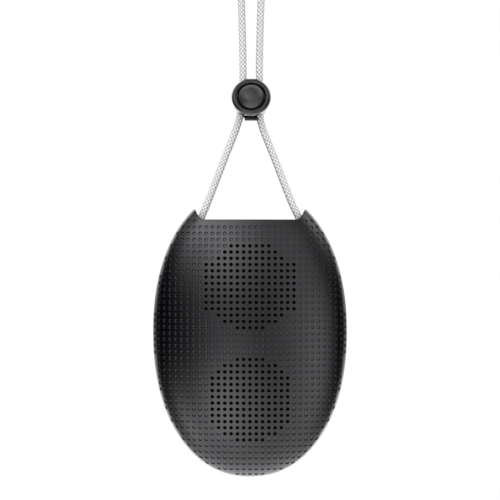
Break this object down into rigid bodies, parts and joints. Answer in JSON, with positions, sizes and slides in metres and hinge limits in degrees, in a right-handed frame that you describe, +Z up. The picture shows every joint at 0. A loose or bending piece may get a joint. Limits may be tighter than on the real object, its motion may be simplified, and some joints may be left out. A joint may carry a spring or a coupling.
{
  "type": "shower speaker",
  "caption": "Flat egg-shaped waterproof speaker with dimpled case and round grilles, hanging from a braided cord with a push-button cord stopper.",
  "frame": {"origin": "hook point, the inside top of the cord's loop", "axes": "+Z up along the hanging cord, +X to the right and -Y out of the grilles, seen by someone facing the speaker"},
  "size_m": [0.0968, 0.0375, 0.281],
  "materials": {
    "case_plastic": "satin soft-touch black with moulded dimples",
    "deck_plastic": "fine satin black",
    "seal_rubber": "matt black",
    "key_silicone": "matt dark grey",
    "light_lens": "clear, polished",
    "cord_braid": "off-white braid with grey flecks",
    "crimp_metal": "bright crimped tube",
    "stopper_plastic": "black, semi-gloss",
    "spring_steel": "bright wire",
    "cloth": "black acoustic cloth",
    "baffle_plastic": "moulded dark grey",
    "basket_steel": "black-painted pressed steel",
    "screw_steel": "zinc-plated",
    "magnet_ferrite": "ground dark grey",
    "yoke_steel": "turned steel",
    "damper_cloth": "amber resin-dipped cloth",
    "coil_copper": "enamelled copper winding",
    "cone_paper": "black pulp",
    "surround_rubber": "matt black",
    "board_laminate": "green solder mask",
    "chip_epoxy": "matt black",
    "shield_metal": "tinned steel",
    "battery_wrap": "satin pouch foil",
    "foam": "open grey foam",
    "lead_insulation": "red insulation"
  },
  "bodies": {
    "speaker": {"front_shell": "case_plastic", "rear_shell": "case_plastic", "seam_gasket": "seal_rubber", "cord_grommet_left": "seal_rubber", "cord_grommet_right": "seal_rubber", "rear_pad": "seal_rubber", "top_deck": "deck_plastic", "key_board": "board_laminate", "main_board": "board_laminate", "switch_power": "chip_epoxy", "switch_volume_down": "chip_epoxy", "switch_play": "chip_epoxy", "switch_volume_up": "chip_epoxy", "amplifier_chip": "chip_epoxy", "status_light": "light_lens", "cord_crimp_left": "crimp_metal", "cord_crimp_right": "crimp_metal", "cord_left": "cord_braid", "cord_right": "cord_braid", "cord_loop": "cord_braid", "speaker_baffle": "baffle_plastic", "upper_grille_cloth": "cloth", "upper_basket": "basket_steel", "upper_screw_1": "screw_steel", "upper_screw_2": "screw_steel", "upper_magnet": "magnet_ferrite", "upper_yoke": "yoke_steel", "upper_damper": "damper_cloth", "upper_surround": "surround_rubber", "lower_grille_cloth": "cloth", "lower_basket": "basket_steel", "lower_screw_1": "screw_steel", "lower_screw_2": "screw_steel", "lower_magnet": "magnet_ferrite", "lower_yoke": "yoke_steel", "lower_damper": "damper_cloth", "lower_surround": "surround_rubber", "wireless_module": "shield_metal", "usb_socket": "shield_metal", "battery": "battery_wrap", "battery_foam": "foam", "battery_lead": "lead_insulation", "case_screw_upper_left": "screw_steel", "case_screw_upper_right": "screw_steel", "case_screw_lower_left": "screw_steel", "case_screw_lower_right": "screw_steel"},
    "upper_cone_assembly": {"upper_cone": "cone_paper", "upper_dust_cap": "cone_paper", "upper_voice_coil": "coil_copper"},
    "lower_cone_assembly": {"lower_cone": "cone_paper", "lower_dust_cap": "cone_paper", "lower_voice_coil": "coil_copper"},
    "stopper": {"stopper_housing": "stopper_plastic", "stopper_spring": "spring_steel"},
    "stopper_plunger": {"stopper_button": "stopper_plastic"},
    "port_flap": {"port_cover": "seal_rubber"},
    "power_key": {"key_power": "key_silicone"},
    "volume_down_key": {"key_volume_down": "key_silicone"},
    "play_key": {"key_play": "key_silicone"},
    "volume_up_key": {"key_volume_up": "key_silicone"}
  },
  "joints": [
    {"name": "stopper_slide", "type": "slide", "parent": "speaker", "child": "stopper", "axis": [0, 0, 1], "range_m": [-0.03, 0.04], "deforming": ["cord_left", "cord_right", "cord_loop"]},
    {"name": "stopper_button_press", "type": "slide", "parent": "stopper", "child": "stopper_plunger", "axis": [0, 0.9613, -0.2756], "range_m": [0, 0.0024], "stiffness_N_per_m": 1500, "deforming": ["stopper_spring"]},
    {"name": "port_cover_hinge", "type": "hinge", "parent": "speaker", "child": "port_flap", "pos_m": [0, 0.023, -0.1987], "axis": [-1, 0, 0], "range_deg": [0, 110]},
    {"name": "power_key_press", "type": "slide", "parent": "speaker", "child": "power_key", "axis": [0, 0, -1], "range_m": [0, 0.0005], "stiffness_N_per_m": 2500},
    {"name": "volume_down_key_press", "type": "slide", "parent": "speaker", "child": "volume_down_key", "axis": [0, 0, -1], "range_m": [0, 0.0005], "stiffness_N_per_m": 2500},
    {"name": "play_key_press", "type": "slide", "parent": "speaker", "child": "play_key", "axis": [0, 0, -1], "range_m": [0, 0.0005], "stiffness_N_per_m": 2500},
    {"name": "volume_up_key_press", "type": "slide", "parent": "speaker", "child": "volume_up_key", "axis": [0, 0, -1], "range_m": [0, 0.0005], "stiffness_N_per_m": 2500},
    {"name": "upper_cone_travel", "type": "slide", "parent": "speaker", "child": "upper_cone_assembly", "axis": [0, -1, 0], "range_m": [-0.0006, 0.0006], "stiffness_N_per_m": 1500, "deforming": ["upper_surround", "upper_damper"]},
    {"name": "lower_cone_travel", "type": "slide", "parent": "speaker", "child": "lower_cone_assembly", "axis": [0, -1, 0], "range_m": [-0.0006, 0.0006], "stiffness_N_per_m": 1500, "deforming": ["lower_surround", "lower_damper"]}
  ]
}
